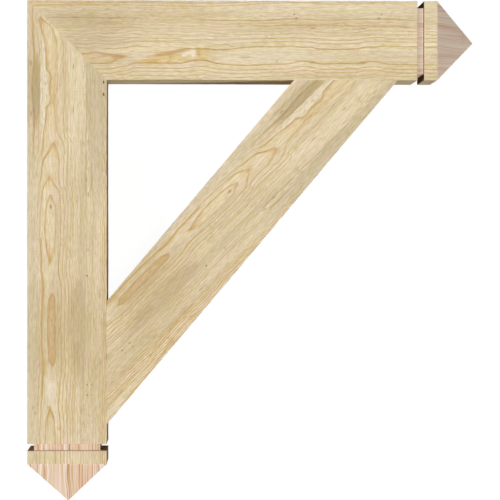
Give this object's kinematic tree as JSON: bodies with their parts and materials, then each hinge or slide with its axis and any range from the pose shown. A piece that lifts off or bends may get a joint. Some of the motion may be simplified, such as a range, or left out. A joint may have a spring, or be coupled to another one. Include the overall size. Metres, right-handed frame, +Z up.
{
  "type": "wooden bracket",
  "caption": "Square-timber bracket: a mitred post and arm with grooved, pointed ends and a diagonal brace, to hold an overhang off a wall.",
  "frame": {"origin": "centre of the underside of the bounding box, with the bracket lying on its side on a level floor", "axes": "+X out from the wall along the arm, +Y up the wall in use, from the post's tip to the arm's top face, +Z up through the timber's thickness"},
  "size_m": [0.8636, 0.9652, 0.1524],
  "materials": {
    "rough_sawn_fir": "rough sawn, unfinished"
  },
  "bodies": {
    "root": {"wall_post": "rough_sawn_fir", "top_arm": "rough_sawn_fir", "brace": "rough_sawn_fir"}
  },
  "joints": []
}
